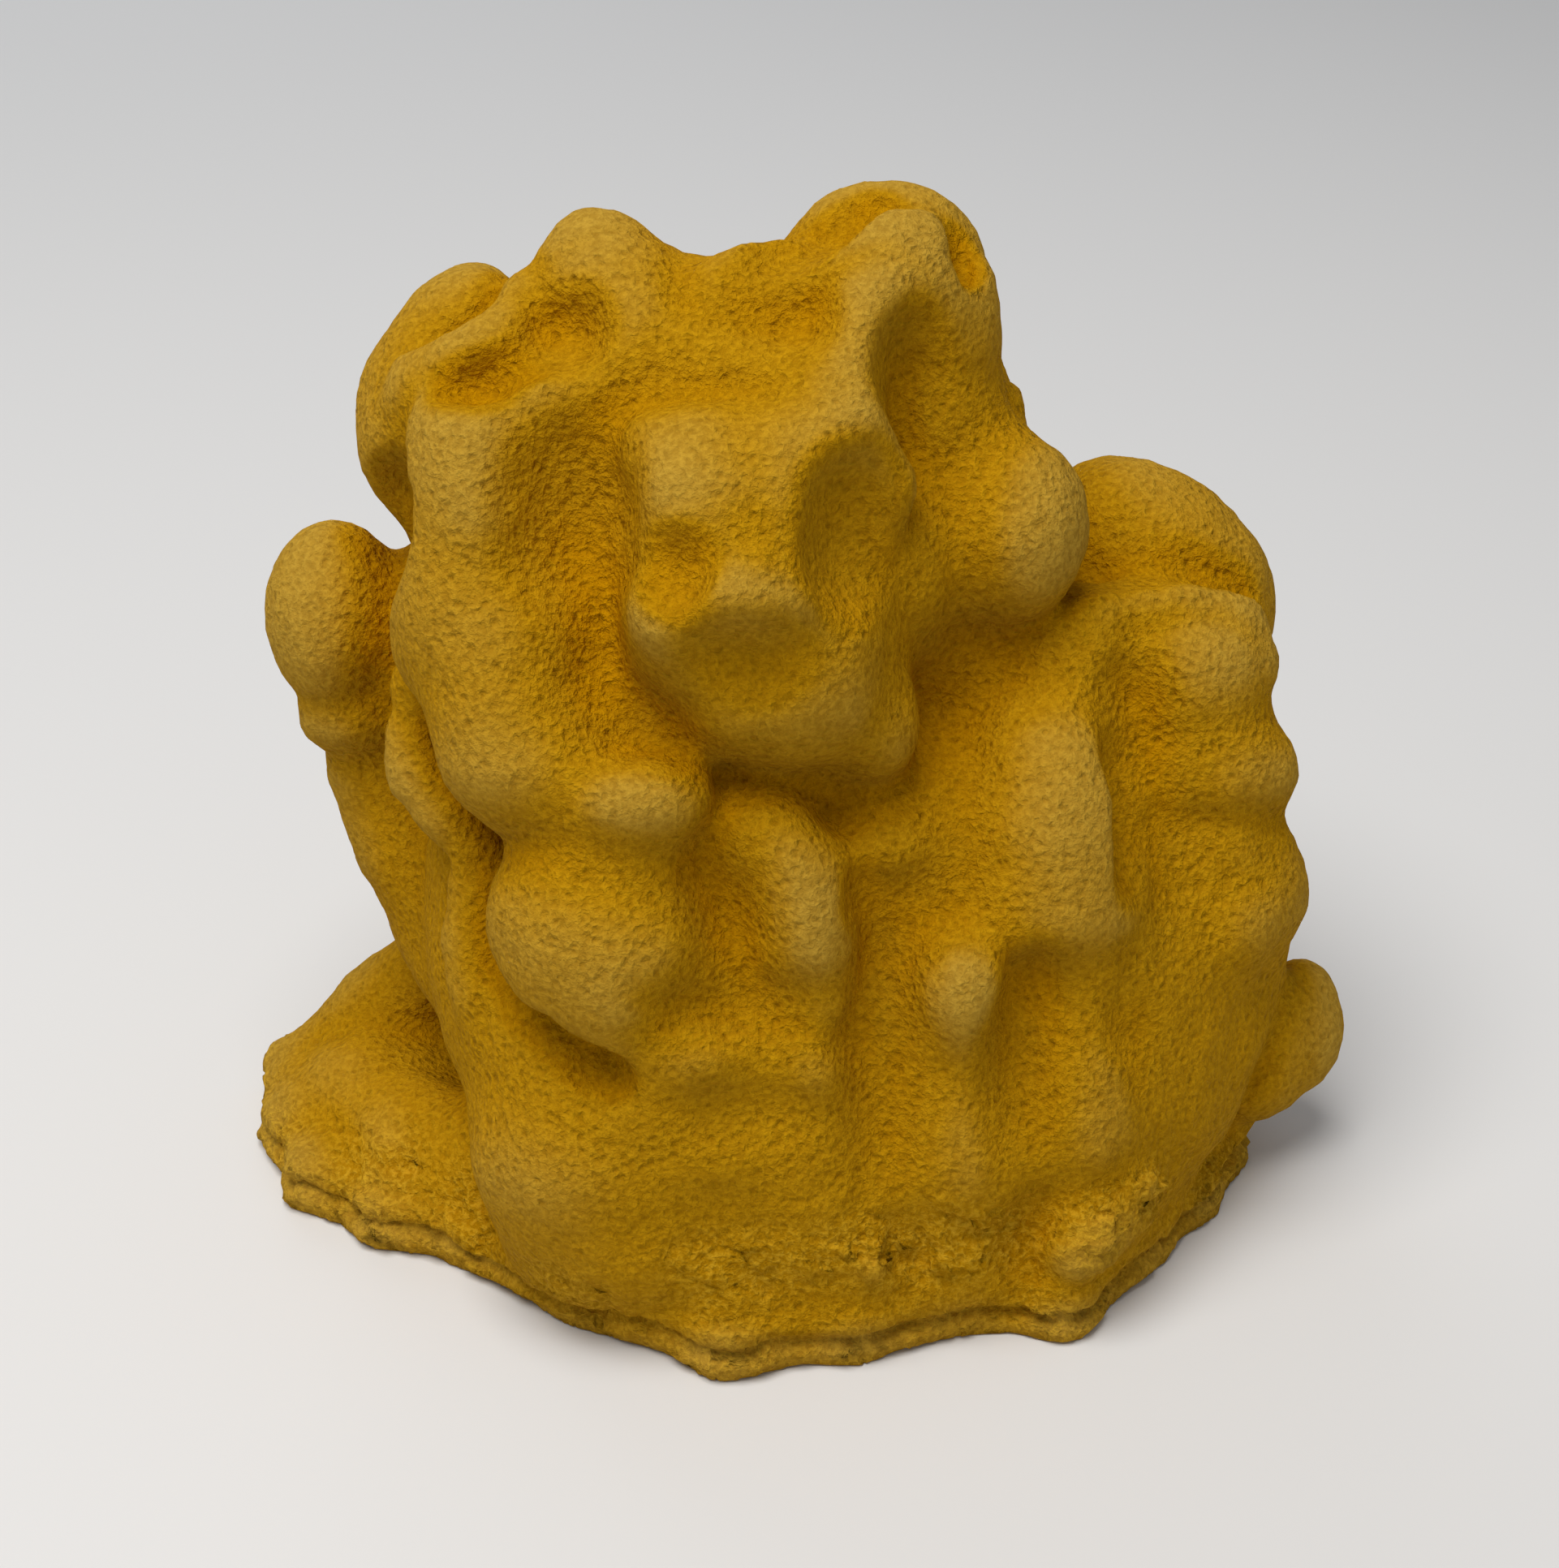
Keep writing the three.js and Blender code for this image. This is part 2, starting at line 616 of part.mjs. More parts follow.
const colony = new THREE.Group();
colony.name = "lobe_coral";
colony.add(coral);

export default colony;
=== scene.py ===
import math

import bpy
import numpy as np
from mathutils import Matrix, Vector


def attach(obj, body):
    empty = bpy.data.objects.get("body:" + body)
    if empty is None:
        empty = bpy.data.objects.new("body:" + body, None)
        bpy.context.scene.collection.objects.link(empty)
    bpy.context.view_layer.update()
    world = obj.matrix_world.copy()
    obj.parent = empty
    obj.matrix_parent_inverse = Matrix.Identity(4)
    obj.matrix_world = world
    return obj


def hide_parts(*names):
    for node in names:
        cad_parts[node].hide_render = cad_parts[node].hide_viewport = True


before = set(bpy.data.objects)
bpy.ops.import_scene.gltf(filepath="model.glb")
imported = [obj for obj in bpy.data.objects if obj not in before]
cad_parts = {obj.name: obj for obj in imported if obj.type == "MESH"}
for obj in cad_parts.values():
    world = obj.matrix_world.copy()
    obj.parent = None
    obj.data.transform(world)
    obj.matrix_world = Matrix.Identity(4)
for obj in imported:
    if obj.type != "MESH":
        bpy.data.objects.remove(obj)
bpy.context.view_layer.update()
print("frame loaded")

# places are read off in millimetres from the front and 30 degrees above, at eyeDistance,
# as across, up and near (towards the eye), from a point aimHeight above the floor
view = {
    "eyeDistance": 340.0,
    "tilt": math.radians(30),
    "aimHeight": 65.0,
    "middle": (1.4, 6.28),  # the middle of the footprint, in the frame of those places
    "lens": 60.0,  # mm, as is the sensor's width
    "sensor": 36.0,
    "clipStart": 0.01,  # m
}

colony = {
    "cell": 1.0,  # mm between samples of the skin
    "low": (-82.5, -46.5, -3.5),  # the box that is sampled
    "high": (82.5, 62.5, 146.5),
    "reach": 12.0,  # mm round a growth that it can change
    "settle": 0.3,  # mm that a vertex may move to lie on the skin
    "hollowReach": 7.0,  # mm from the skin at which hollows are felt
    "hollowSteps": (0.35, 0.65, 1.0),  # shares of that reach
    "hollowSpan": (-0.2, 1.2),  # what hollowness is held between
    "roundGain": 4,  # a ball of twice this radius, in mm, counts as fully round
    "openReach": 9,  # samples each way over which outer knobs are told from inner ones
}

mm = 0.001
tiny = 1e-6  # keeps a division away from zero
sinTilt, cosTilt = math.sin(view["tilt"]), math.cos(view["tilt"])
growths = []


def seen(place):
    # a place read off in perspective, as a point of the tilted frame
    shrink = (view["eyeDistance"] - place[2]) / view["eyeDistance"]
    return (place[0] * shrink, place[1] * shrink, place[2])


def standing(point):
    # a point of the tilted frame, as x, y, height
    across, up, near = point
    return (across, up * sinTilt - near * cosTilt, view["aimHeight"] + up * cosTilt + near * sinTilt)


def grow(name, sign, tilted, points, sizes, blend):
    growths.append({"name": name, "sign": sign, "tilted": tilted, "points": points, "sizes": sizes,
                    "blend": blend})


def swell(name, place, size, blend):
    # an ellipsoid as seen, with its half sizes and the mm over which it blends in
    grow(name, 1, True, [seen(place)], [size], blend)


def hollow(name, place, size, blend):
    # the same, cut away
    grow(name, -1, True, [seen(place)], [size], blend)


def mound(name, place, size, blend):
    # an ellipsoid that stands upright, at x, y, height
    grow(name, 1, False, [place], [size], blend)


def runOf(name, sign, tilted, places, blend):
    # a chain of tapering tubes, each place with its radius last
    points = [seen(place[:3]) if tilted else place[:3] for place in places]
    for first, last, start, end in zip(points, points[1:], places, places[1:]):
        grow(name, sign, tilted, [first, last], [start[3], end[3]], blend)


def ridge(name, places, blend):
    runOf(name, 1, True, places, blend)


def groove(name, places, blend):
    runOf(name, -1, True, places, blend)


def apron(name, places, blend):
    runOf(name, 1, False, places, blend)


# core
mound("lower middle", (2, 20, 42), (48, 22, 40), 8)
mound("upper middle", (-3, 18, 88), (33, 17, 34), 8)
swell("front mass", (-12, -29, -14), (32, 32, 34), 10)
swell("right mass", (34.5, -20.5, -26), (30, 33, 33), 10)
swell("upper left mass", (-25.5, 26, -6), (22, 34, 30), 10)
swell("neck of the knob", (-2, 26, 3), (20, 25, 31), 10)
swell("upper right mass", (15, 38, -6), (17, 30, 22), 10)
swell("back right mass", (44, 12, -22), (18, 28, 20), 10)
swell("left bridge", (-48, 17, -14), (10, 13, 11), 8)
swell("left flank", (-36.5, -14, -14), (9.5, 20, 15), 8)
swell("top", (-8, 55, 11), (20, 12, 14), 8)

# crown, left
swell("back left knob", (-40, 57.8, 4), (8.6, 9.6, 10), 7)
swell("knob to shoulder", (-45, 51, 3), (8.5, 8, 10), 7)
swell("top left knob", (-22.5, 62, 14), (10.5, 10.2, 11), 6)
swell("left shoulder", (-45, 44.5, 8), (9.5, 11, 12), 6)
ridge("left crown ridge", [
    (-24, 69, 18, 5), (-20.5, 64, 20.5, 4.5), (-19.5, 58, 24, 4.5), (-23.5, 54.5, 25.5, 4),
    (-29, 52.3, 26, 4), (-34, 50.2, 25.5, 4.2), (-39, 47, 24.5, 5.5),
], 5)
ridge("shoulder edge", [
    (-39.5, 47, 24, 6), (-39.5, 41, 25, 6), (-37.5, 35, 25, 6), (-40, 27.5, 21, 6.5),
    (-43.5, 18, 15, 6),
], 7)
swell("cheek", (-36, 20, 19), (10.5, 8, 12), 7)
hollow("side recess", (-50.5, 34, 17), (4.6, 8, 9), 4)
swell("crown middle", (0, 55, 19), (12, 11, 11), 8)
swell("pale saddle", (-13, 56, 20), (7, 8, 7.5), 7)
ridge("strip between the pockets", [
    (-33.4, 62.5, 19, 3.2), (-35.5, 57.5, 21.5, 3.4), (-40, 55, 22, 3.4), (-46.5, 51.5, 18.5, 4.4),
], 3.5)
hollow("upper left pocket", (-28.3, 59.5, 29.6), (5.2, 5.6, 6.8), 4)
hollow("shoulder pocket", (-40, 52, 29.6), (5, 2.6, 4.8), 4)
groove("trough between the pockets", [
    (-28.5, 58, 27.5, 2.8), (-33, 55.1, 28.6, 2.2), (-37.5, 52.9, 27.5, 2.0),
], 3)
hollow("saddle pocket", (-10.3, 67, 29), (2.6, 5, 5), 4)

# crown, right
swell("crest", (13.5, 68.3, 12), (12.2, 9.8, 10), 6)
swell("crest side", (19.5, 58.5, 13), (7.6, 11, 10), 5)
swell("crest foot", (19.5, 48.5, 12), (8, 9, 10), 5)
ridge("crest ridge", [
    (-9.5, 61, 23, 3.6), (-6, 63.4, 23.5, 3.8), (-1, 65.7, 24, 4), (5, 67.8, 24, 4.2),
    (12, 69, 24, 4.4), (17.5, 68.5, 22.5, 4.4),
], 4)
ridge("ridge to the knob", [
    (16, 67, 25, 4.5), (12, 60.5, 28.5, 4.5), (8.5, 54, 30, 4.8), (8, 48, 31.5, 5),
    (9.5, 43.5, 32, 5), (12.5, 39.8, 30, 4.2),
], 5)
swell("face of the crest", (17.5, 61, 17), (8, 8, 10), 6)
hollow("crest face", (18.6, 51.5, 32), (5.2, 9.5, 7), 5)
groove("crest trough", [
    (-5, 67.3, 29.5, 2.4), (0.5, 71.3, 28, 3.2), (7, 74.2, 24.5, 3.4), (12, 75.6, 20.5, 2.8),
], 4)
ridge("right edge of the crest", [
    (17, 69, 23.5, 3.8), (22, 65.3, 19, 3.8), (22.5, 59, 15.5, 4.2), (22.5, 50, 13.5, 4.6),
], 4)
hollow("crown hollow", (-1.5, 60.5, 34.8), (7, 5, 7.5), 4.5)
swell("crown floor", (-4, 49.5, 23.5), (14.5, 7, 9.5), 6)
hollow("crown trough", (-12, 51.5, 38.5), (9, 4, 6), 6)
hollow("crest back hollow", (24, 70, 22.5), (2.2, 5, 4.5), 3)
swell("small bump", (29, 49, 6), (3, 3, 3), 2)

# knob at the centre
swell("knob, upper left", (-10, 36, 31.5), (11, 9.8, 12), 8)
swell("knob, upper right", (4.5, 35.5, 31), (9.5, 10, 11), 8)
swell("knob, middle", (-7, 22, 35), (11.5, 8, 11.5), 7)
swell("knob, lower", (-0.5, 12.5, 24.5), (11, 9, 11), 8)
swell("knob, lower left", (-9, 17.5, 25), (8, 8.5, 10), 7)
swell("knob, lower right", (7, 17, 23.5), (5.5, 9, 9), 8)
ridge("knob rim", [
    (-17, 41, 32.5, 4.2), (-9.5, 41.8, 34, 4.2), (0, 42, 34, 4.2), (6, 44, 33, 4.2),
], 5)
swell("chin bump", (12.8, 7.5, 18), (5, 6.5, 6.5), 6)
swell("channel", (-26, 43, 16), (9, 10, 11), 8)
hollow("big hollow", (-27.5, 35.5, 36.5), (7.5, 9.5, 9), 6)
hollow("dimple", (-14.2, 27.6, 43.3), (3.9, 4, 3.7), 4)
hollow("knob hollow", (-4.6, 15.6, 43.6), (6, 4, 6), 7)
hollow("eye", (13, 36.8, 40.4), (8, 6.6, 7.6), 5)
hollow("eye, lower", (13.4, 30, 38.6), (7.8, 6.6, 9), 5)
swell("low rim of the eye", (16.8, 29, 15.5), (5, 9, 8), 6)

# right
swell("right knob", (30, 33.5, 11), (9.8, 12, 11.5), 6)
swell("back right lobe", (45, 30, -16), (12, 13, 13), 7)
swell("back right edge", (52.5, 23.5, -16), (12, 13.5, 13), 7)
swell("right lobe", (51.5, 15, -2), (12, 10, 11), 7)
swell("floor of the dip", (28, 15, -4), (12, 13, 11), 8)
swell("saddle", (39.5, 15.5, 3), (6, 7, 8), 6)
ridge("rim of the right lobe", [
    (36, 18.5, 6.5, 3.2), (40.5, 22.4, 5.5, 3.2), (46, 24.2, 3.6, 3.2), (52.5, 24.4, 1.2, 3.4),
    (58.5, 21.5, -0.5, 3.4), (61, 16, -1, 3.4),
], 3.5)
groove("crease over the right lobe", [
    (38, 27, 8, 2), (46, 29.2, 5, 2.6), (54, 29.4, 1.5, 2.6), (61, 26, -3, 2),
], 4)
hollow("hollow of the right lobe", (46.8, 11.2, 13.5), (4.6, 5.6, 6.5), 5)
hollow("deep dip", (26, 14, 32), (9, 7.5, 9), 7)
ridge("right column", [
    (35, 2.5, 7.8, 9.4), (34.6, -6, 7.6, 10.2), (34.4, -16, 5.5, 9.8), (36, -28, -2, 10),
    (37.5, -38, -7, 10.5),
], 7)
swell("column flank", (27, -17, 4), (8, 8, 9), 8)
hollow("under the right column", (36, -29, 16.5), (8, 3.6, 5.5), 8)
groove("side valley", [
    (45, 9, 13, 2), (45.6, 2, 11.5, 2.6), (46, -6, 11, 2.8), (46.4, -12, 12, 2),
], 5)
groove("low side valley", [(47.2, -24, 11, 1.8), (46.8, -33, 8, 2.4), (46.5, -43, 3.5, 2.2)], 5)
swell("upper side lobe", (55, 1.6, -6), (12.5, 8, 11), 8)
swell("lower side lobe", (56, -14, -13), (13.3, 10, 12), 8)
ridge("side band", [(49, -8, -1.5, 3.5), (57, -8.5, -4, 3.8), (62, -9.5, -8.5, 3.8)], 4)
swell("side nub", (59, -17.5, -5.5), (4.2, 4, 4.5), 5)
swell("bulb", (67.3, -31, -31), (6.4, 9.2, 8.5), 4)
swell("bulb, inner", (64, -31.5, -25.5), (5.2, 8, 6), 3)
swell("bulb, lower", (60.5, -39, -30), (6.5, 5.5, 8), 5)
ridge("side ridge", [
    (59, -23, -20, 6), (55, -31, -18, 6.5), (50.5, -40, -19, 7), (45, -48, -22, 7.5),
], 6)
swell("right low fill", (44, -38, -14), (12, 16, 12), 9)
swell("side foot", (55, -50.5, -38), (5.4, 5.5, 6), 4)

# front, middle
swell("ledge bump", (-18.5, -2, 24.5), (9, 6.2, 9), 5)
swell("between knob and ledge", (-18, 8.5, 16), (8, 6, 9), 5)
hollow("crevice by the knob", (-18.5, 8, 34), (6, 3.5, 7), 5)
swell("belly", (-23, -17, 15), (14.5, 13, 13), 8)
swell("belly, lower", (-20, -24, 14), (9.5, 9.5, 12), 7)
swell("behind the middle column", (-1.5, 0.6, 8.4), (13, 8.4, 10.4), 6)
ridge("middle column", [
    (-2, -8.5, 21, 6.4), (1.5, -13, 19.5, 6.2), (4, -19, 17.5, 6.5), (4.5, -26, 14.5, 6.5),
], 5)
hollow("valley", (-6, -18, 30), (3.6, 9.5, 8), 6)
swell("pale bump", (14, -10, 12), (5.5, 6, 7), 7)
swell("behind the pale bump", (17, -6, 4), (10, 12, 9), 8)
swell("bright bump", (22.8, -25.8, 12), (7.8, 7, 8.5), 5)
ridge("front column", [(23.5, -33, 5, 9), (23, -44, 0, 10.5), (21, -56.5, -7, 12)], 7)
swell("outer column", (39, -41, -2), (7, 11.5, 10), 7)
swell("outer foot", (38, -54, -12), (10, 9, 12), 8)
ridge("broken lump", [(45.5, -52.5, -3, 4.5), (40, -57.5, -1, 5), (37.8, -61, 0, 4)], 3)
swell("nub", (12, -61.5, 4.5), (2.6, 3, 3.2), 2)
swell("under the round bump", (-9, -43, 4), (12, 8, 10), 6)
hollow("above the bumps", (-5, -30.2, 25.5), (9.5, 3, 7), 6)
swell("round bump", (-10.8, -36, 14.6), (6, 5.2, 6.5), 4)
ridge("floor of the crevice", [(14, -13, 7, 6), (14, -30, 5.5, 6), (14, -48, 2, 6)], 6)
swell("under the belly", (-2, -40, 3), (16, 9, 12), 8)
swell("little bump", (3.4, -37.4, 13), (5, 4.4, 5.5), 4)
swell("low belly", (-25.5, -48.5, 1), (14, 11.5, 14), 7)
swell("foot of the belly", (-15, -58, -5), (20, 11, 14), 9)
swell("front foot", (4, -51, -1), (10, 14, 11.5), 8)
hollow("shade under the bumps", (-3, -44.8, 21.2), (10, 4, 5.5), 7)
hollow("front crevice", (14, -31, 21.5), (3.6, 14, 7), 6)
hollow("front crevice, lower", (13.5, -47, 15.5), (2, 10, 4.5), 6)
hollow("outer crevice", (31.4, -38, 13.2), (3, 13, 5.2), 6)
hollow("nose hollow", (18, -14.5, 21.5), (7, 2.8, 5), 5)
groove("belly crease", [
    (-37.2, -16.5, 9, 1.6), (-37, -23, 10.5, 2.4), (-35.5, -28.5, 13, 2.8), (-30, -32.5, 16.2, 3.2),
    (-25, -36.2, 17.2, 3.2), (-22, -38.7, 18, 2.5),
], 3)

# left
swell("far left knob", (-58, 22.3, -5), (8.9, 12.4, 10), 4)
swell("bump under it", (-56, 9, -9), (6.5, 5, 6), 3)
ridge("left stem", [
    (-52, 3, -18, 7.5), (-47.5, -7, -22, 7.5), (-42, -15, -24, 8), (-40, -23, -24, 8),
], 5)
swell("jowl", (-35, 11, 19.5), (9, 10, 11), 7)
swell("lower jowl", (-32.5, 3, 20), (10, 8.5, 11), 6)
ridge("edge bumps", [
    (-47.6, 6, 5, 3.8), (-46.8, 1.5, 5, 3.8), (-43, -3, 5.5, 3.6), (-40, -7.5, 5, 3.2),
], 3)
swell("edge roll", (-46.8, 13, 5), (3.8, 4.6, 5), 3)
ridge("edge fold", [
    (-37.5, -8.5, 4, 2.4), (-39.4, -13.5, 4, 3), (-40.2, -20, 3.5, 3.2), (-38.8, -26, 3, 3.2),
    (-35.5, -32, 2, 3.4),
], 3)

# back
mound("back, low left", (-34, 32, 24), (16, 14, 20), 7)
mound("back, low middle", (-6, 41, 22), (17, 13, 19), 7)
mound("back, low right", (27, 38, 26), (16, 14, 21), 7)
mound("back, left", (-38, 27, 60), (13, 13, 16), 7)
mound("back, middle", (-15, 37, 62), (14, 11, 18), 6)
mound("back, middle right", (12, 40, 60), (13, 11, 17), 6)
mound("back, right", (43, 36, 58), (16, 13, 19), 7)
mound("back, high left", (-30, 23, 97), (12, 11, 14), 6)
mound("back, high middle", (-8, 29, 102), (13, 10, 15), 6)
mound("back, high right", (17, 26, 98), (12, 12, 17), 6)
mound("back bump, left", (-24, 45, 42), (7, 6, 8), 5)
mound("back bump, right", (20, 49, 36), (8, 6, 7), 5)
mound("back bump, high", (3, 38, 84), (7, 6, 9), 5)
mound("side lobe, left", (-47, 20, 36), (8, 10, 12), 6)

# foot
mound("shelf", (-52, 16, 4), (23, 15, 9), 6)
apron("shelf ridge", [(-71, 22, 3, 4), (-58, 26, 12, 6), (-46, 26, 22, 8)], 6)
mound("pad", (0, 0, 4), (54, 35, 9), 6)
apron("skirt", [
    (-60, 10, 6, 8), (-50, -2, 6, 8), (-38, -7, 7, 9), (-22, -17, 8, 10), (-6, -26, 9, 10),
    (9, -24, 9, 10), (26, -18, 8, 9), (36, -18, 7, 9), (45, -8, 7, 8), (53, 3, 6, 8),
    (54, 18, 6, 8),
], 6)
apron("edge of the skirt", [
    (-72, 21, 3, 4), (-70, 8, 3, 4), (-65, -3, 3, 4.5), (-54, -11, 3, 4), (-40, -15, 3, 4),
    (-25, -26, 3, 4), (-7, -37, 3, 4), (9, -34, 3, 4), (28, -27, 3, 4), (37, -30, 3, 4),
    (47, -17, 3, 4), (57, -6, 3, 4), (61, 6, 3, 5), (60, 20, 3, 5),
], 5)

print(len({growth["name"] for growth in growths}), "growths placed")

cellCorners = [np.array([bits & 1, bits >> 1 & 1, bits >> 2 & 1]) for bits in range(8)]
axisSteps = np.eye(3, dtype=int)
gridEdge = 1.001  # samples from the grid's end, so that a point there still lies in a whole cell


def ellipsoidDistance(grid, centre, size):
    shares = [(axis - c) / s for axis, c, s in zip(grid, centre, size)]
    inner = np.sqrt(sum(share**2 for share in shares))
    slope = np.sqrt(sum((share / s) ** 2 for share, s in zip(shares, size)))
    return inner * (inner - 1) / np.maximum(slope, tiny)


def tubeDistance(grid, first, last, startSize, endSize):
    run = np.subtract(last, first)
    gaps = [axis - c for axis, c in zip(grid, first)]
    along = np.clip(sum(gap * r for gap, r in zip(gaps, run)) / (run @ run), 0, 1)
    off = np.sqrt(sum((gap - along * r) ** 2 for gap, r in zip(gaps, run)))
    return off - (startSize + (endSize - startSize) * along)


def skinGrid():
    # distance to the skin at every sample of the box
    low, high, cell = np.array(colony["low"]), np.array(colony["high"]), colony["cell"]
    counts = np.ceil((high - low) / cell).astype(int) + 1
    skin = np.full(counts, colony["reach"], np.float32)
    for growth in growths:
        points, sizes, blend = growth["points"], growth["sizes"], growth["blend"]
        middles = [np.array(standing(p) if growth["tilted"] else p) for p in points]
        wide = [np.array(size).max() if growth["tilted"] else np.array(size) for size in sizes]
        room = colony["reach"] + blend
        boxLow = np.min([m - w for m, w in zip(middles, wide)], axis=0) - room
        boxHigh = np.max([m + w for m, w in zip(middles, wide)], axis=0) + room
        first = np.clip(np.floor((boxLow - low) / cell).astype(int), 0, counts - 1)
        last = np.clip(np.ceil((boxHigh - low) / cell).astype(int) + 1, 1, counts)
        spans = [low[a] + cell * np.arange(first[a], last[a], dtype=np.float32) for a in range(3)]
        x, y, z = np.meshgrid(*spans, indexing="ij", sparse=True)
        grid = (x, y, z)
        if growth["tilted"]:
            raised = z - view["aimHeight"]
            grid = (x, y * sinTilt + raised * cosTilt, raised * sinTilt - y * cosTilt)
        if len(points) == 1:
            own = ellipsoidDistance(grid, points[0], sizes[0])
        else:
            own = tubeDistance(grid, points[0], points[1], sizes[0], sizes[1])
        part = skin[first[0] : last[0], first[1] : last[1], first[2] : last[2]]
        near = growth["sign"] * part
        # the nearer of the two, rounded off where they are almost as near
        soft = np.maximum(blend - np.abs(near - own), 0) / blend
        part[:] = growth["sign"] * (np.minimum(near, own) - soft * soft * blend / 4)
    height = low[2] + cell * np.arange(counts[2], dtype=np.float32)
    return low, np.maximum(skin, -height)  # sawn off flat at the floor


def sampleGrid(low, values, points):
    # the grid's value at any point, by straight lines between its samples
    place = np.clip((points - low) / colony["cell"], 0, np.array(values.shape) - gridEdge)
    corner = place.astype(int)
    share = place - corner
    total = np.zeros(len(points))
    for step in cellCorners:
        weight = np.prod(np.where(step, share, 1 - share), axis=1)
        total += weight * values[tuple((corner + step).T)]
    return total


def netOf(low, skin):
    # one vertex for each cell that the skin passes through, and a quad round each crossed edge
    inside = skin < 0
    shape = np.array(skin.shape) - 1
    cornersInside = np.zeros(shape, np.int8)
    for corner in cellCorners:
        cornersInside += inside[tuple(slice(c, c + n) for c, n in zip(corner, shape))]
    cells = np.argwhere((cornersInside > 0) & (cornersInside < len(cellCorners)))
    total, hits = np.zeros((len(cells), 3)), np.zeros(len(cells))
    for axis, step in enumerate(axisSteps):
        for corner in cellCorners:
            if corner[axis]:
                continue
            start, end = skin[tuple((cells + corner).T)], skin[tuple((cells + corner + step).T)]
            crossed = (start < 0) != (end < 0)
            share = np.where(crossed, start / np.where(crossed, start - end, 1), 0)
            total += crossed[:, None] * (cells + corner + share[:, None] * step)
            hits += crossed
    vertices = low + colony["cell"] * total / hits[:, None]
    number = np.full(shape, -1, np.int64)
    number[tuple(cells.T)] = np.arange(len(cells))
    faces = []
    for axis, step in enumerate(axisSteps):
        p, q = axisSteps[(axis + 1) % 3], axisSteps[(axis + 2) % 3]
        here = inside[tuple(slice(0, n - s) for n, s in zip(skin.shape, step))]
        there = inside[tuple(slice(s, n) for n, s in zip(skin.shape, step))]
        edges = np.argwhere(here != there)
        edges = edges[(edges[:, (axis + 1) % 3] > 0) & (edges[:, (axis + 2) % 3] > 0)]
        back = (p + q, q, 0 * p, p)  # steps back to the four cells round an edge
        quads = np.stack([number[tuple((edges - step).T)] for step in back], axis=1)
        outward = here[tuple(edges.T)]
        faces.append(np.where(outward[:, None], quads, quads[:, ::-1]))
    return vertices, np.concatenate(faces)


def meshOf(name, vertices, quads):
    mesh = bpy.data.meshes.new(name)
    mesh.vertices.add(len(vertices))
    mesh.vertices.foreach_set("co", vertices.astype(np.float32).ravel())
    mesh.loops.add(quads.size)
    mesh.loops.foreach_set("vertex_index", quads.astype(np.int32).ravel())
    mesh.polygons.add(len(quads))
    mesh.polygons.foreach_set("loop_start", np.arange(0, quads.size, 4, dtype=np.int32))
    mesh.update(calc_edges=True)
    mesh.validate()
    return mesh


def spreadOut(values, half):
    # the mean over a box round each sample
    for axis in range(3):
        pads = [(half + 1, half) if a == axis else (0, 0) for a in range(3)]
        total = np.moveaxis(np.cumsum(np.pad(values, pads), axis=axis), axis, 0)
        width = 2 * half + 1
        values = np.moveaxis((total[width:] - total[:-width]) / width, 0, axis)
    return values


low, skin = skinGrid()
print("skin sampled at", skin.size, "places")
points, quads = netOf(low, skin)
slopes = np.gradient(skin, colony["cell"])
outward = np.stack([sampleGrid(low, slope, points) for slope in slopes], axis=1)
outward /= np.maximum(np.linalg.norm(outward, axis=1, keepdims=True), tiny)
offSkin = np.clip(sampleGrid(low, skin, points), -colony["settle"], colony["settle"])
points -= outward * offSkin[:, None]
points[:, 2] = np.maximum(points[:, 2], 0)

# how much of the sky a place loses to the lobes round it: 0 on a crest, 1 deep in a crevice
reach = colony["hollowReach"]
felt = np.zeros(len(points))
for share in colony["hollowSteps"]:
    felt += 1 - sampleGrid(low, skin, points + outward * reach * share) / (reach * share)
hollowness = np.clip(felt / len(colony["hollowSteps"]), *colony["hollowSpan"])

# how tightly the skin curves: over 0 on a bulge, under 0 in a dip
bulge = sum(np.gradient(slope, colony["cell"])[axis] for axis, slope in enumerate(slopes))
roundness = np.clip(sampleGrid(low, bulge, points) * colony["roundGain"], -1.0, 1.0)

# how far a place stands out of the colony: over 0 on an outer knob, under 0 between the lobes
crowd = spreadOut((skin < 0).astype(np.float32), colony["openReach"])
crowd = spreadOut(crowd, colony["openReach"])
openness = 1 - 2 * sampleGrid(low, crowd, points)

foot = {
    "strip": 5.0,  # mm above the floor that is crumbled all round
    "fade": 5.0,  # mm over which that ends
    "stripShare": 0.75,
    "patchGain": 1.6,  # over 1, so that the middle of a patch is wholly crumbled
    # crumbled patches higher up: across, up, near and radius
    "patches": [
        (-53, -53, -18, 13), (-42, -57, -12, 10), (-68, -47, -30, 10), (-27.5, -66, 3, 8),
        (-10.5, -63, 6, 9), (-1, -61.5, 6, 9), (8, -61, 7, 8), (14, -62, 6, 9), (23, -60, 5, 10),
        (32, -60, 3, 8), (42, -58.5, 4, 8), (49, -54, 0, 8), (58, -51, -22, 9),
    ],
}
strip = 1 - np.clip((points[:, 2] - foot["strip"]) / foot["fade"], 0, 1)
crumbled = foot["stripShare"] * strip
for across, up, near, radius in foot["patches"]:
    away = np.linalg.norm(points - standing(seen((across, up, near))), axis=1)
    patch = foot["patchGain"] - foot["patchGain"] * away / radius
    crumbled = np.maximum(crumbled, np.clip(patch, 0, 1))

